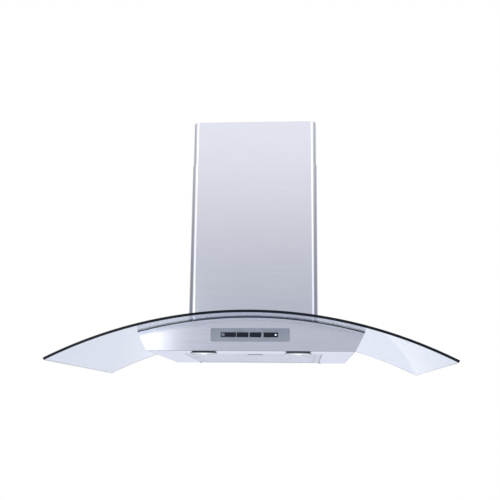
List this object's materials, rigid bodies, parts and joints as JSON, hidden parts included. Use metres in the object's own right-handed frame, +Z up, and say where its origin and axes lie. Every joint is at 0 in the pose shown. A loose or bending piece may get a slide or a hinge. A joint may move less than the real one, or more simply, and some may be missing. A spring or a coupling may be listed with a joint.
{
  "type": "island range hood",
  "caption": "Ceiling-hung island range hood with an arched glass canopy, shallow steel tray with filter, lamps and keys, telescopic chimney, blower and duct collar.",
  "frame": {"origin": "centre of the ceiling plate's top face, which is against the ceiling", "axes": "+Z up to the ceiling, -Y towards the control strip at the front, +X along the canopy's long side, to the right seen from the front"},
  "size_m": [0.9, 0.6, 0.6123],
  "materials": {
    "stainless": "brushed stainless sheet",
    "zinc_steel": "zinc-plated sheet steel",
    "bolt_steel": "bright plated steel",
    "canopy_glass": "clear tempered glass, ground edges",
    "gasket_rubber": "black seal",
    "moulded_black": "moulded black plastic",
    "motor_enamel": "dark enamel",
    "filter_aluminium": "anodised, with a woven mesh",
    "lamp_chrome": "polished",
    "lens_glass": "clear",
    "bulb_glass": "clear capsule",
    "bezel_grey": "satin grey",
    "key_black": "glossy dark grey",
    "board_green": "solder resist",
    "indicator_white": "clear white"
  },
  "bodies": {
    "ceiling_frame": {"ceiling_plate": "zinc_steel", "upper_cover_front": "stainless", "upper_cover_rear": "stainless", "upper_leg_front_left": "zinc_steel", "upper_leg_front_right": "zinc_steel", "upper_leg_rear_left": "zinc_steel", "upper_leg_rear_right": "zinc_steel"},
    "hood": {"front_panel": "stainless", "rear_panel": "stainless", "top_plate": "stainless", "bottom_panel": "stainless", "end_panel_right": "stainless", "end_panel_left": "stainless", "saddle_frame": "zinc_steel", "motor_box": "zinc_steel", "power_box": "zinc_steel", "lower_leg_front_left": "zinc_steel", "lower_leg_front_right": "zinc_steel", "lower_leg_rear_left": "zinc_steel", "lower_leg_rear_right": "zinc_steel", "frame_bolt_front_left": "bolt_steel", "frame_bolt_front_right": "bolt_steel", "frame_bolt_rear_left": "bolt_steel", "frame_bolt_rear_right": "bolt_steel", "clamp_bolt_front_left": "bolt_steel", "clamp_bolt_front_right": "bolt_steel", "clamp_bolt_rear_left": "bolt_steel", "clamp_bolt_rear_right": "bolt_steel", "glass_canopy": "canopy_glass", "glass_gasket": "gasket_rubber", "volute_front": "moulded_black", "volute_rear": "moulded_black", "outlet_collar": "moulded_black", "cable_gland": "moulded_black", "control_housing": "moulded_black", "motor": "motor_enamel", "lamp_bezel_left": "lamp_chrome", "lamp_bezel_right": "lamp_chrome", "lamp_can_left": "lamp_chrome", "lamp_can_right": "lamp_chrome", "lamp_lens_left": "lens_glass", "lamp_lens_right": "lens_glass", "lamp_bulb_left": "bulb_glass", "lamp_bulb_right": "bulb_glass", "control_bezel": "bezel_grey", "control_board": "board_green", "indicator_lens": "indicator_white"},
    "lower_cover": {"lower_cover_front": "stainless", "lower_cover_rear": "stainless"},
    "impeller": {"impeller_wheel": "moulded_black", "motor_shaft": "bolt_steel"},
    "damper_left": {"damper_flap_left": "moulded_black"},
    "damper_right": {"damper_flap_right": "moulded_black"},
    "filter": {"filter_frame": "filter_aluminium", "filter_pack": "filter_aluminium"},
    "latch": {"filter_latch": "bolt_steel"},
    "key_1": {"key_1": "key_black"},
    "key_2": {"key_2": "key_black"},
    "key_3": {"key_3": "key_black"},
    "key_4": {"key_4": "key_black"}
  },
  "joints": [
    {"name": "height_adjust", "type": "slide", "parent": "ceiling_frame", "child": "hood", "axis": [0, 0, 1], "range_m": [-0.2, 0.05]},
    {"name": "cover_lift", "type": "slide", "parent": "hood", "child": "lower_cover", "axis": [0, 0, 1], "range_m": [0, 0.06]},
    {"name": "impeller_spin", "type": "hinge", "parent": "hood", "child": "impeller", "pos_m": [0, 0, -0.385], "axis": [0, 1, 0], "continuous": true},
    {"name": "damper_left_swing", "type": "hinge", "parent": "hood", "child": "damper_left", "pos_m": [0.0425, 0, -0.238], "axis": [0, 1, 0], "range_deg": [0, 80]},
    {"name": "damper_right_swing", "type": "hinge", "parent": "hood", "child": "damper_right", "pos_m": [0.0495, 0, -0.238], "axis": [0, -1, 0], "range_deg": [0, 80]},
    {"name": "filter_drop", "type": "hinge", "parent": "hood", "child": "filter", "pos_m": [0, 0.203, -0.5835], "axis": [1, 0, 0], "range_deg": [0, 75]},
    {"name": "latch_pull", "type": "slide", "parent": "filter", "child": "latch", "axis": [0, 1, 0], "range_m": [0, 0.006], "stiffness_N_per_m": 400, "springref_m": -0.003},
    {"name": "key_1_press", "type": "slide", "parent": "hood", "child": "key_1", "axis": [0, 1, 0], "range_m": [0, 0.002], "stiffness_N_per_m": 800, "springref_m": -0.0015},
    {"name": "key_2_press", "type": "slide", "parent": "hood", "child": "key_2", "axis": [0, 1, 0], "range_m": [0, 0.002], "stiffness_N_per_m": 800, "springref_m": -0.0015},
    {"name": "key_3_press", "type": "slide", "parent": "hood", "child": "key_3", "axis": [0, 1, 0], "range_m": [0, 0.002], "stiffness_N_per_m": 800, "springref_m": -0.0015},
    {"name": "key_4_press", "type": "slide", "parent": "hood", "child": "key_4", "axis": [0, 1, 0], "range_m": [0, 0.002], "stiffness_N_per_m": 800, "springref_m": -0.0015}
  ]
}
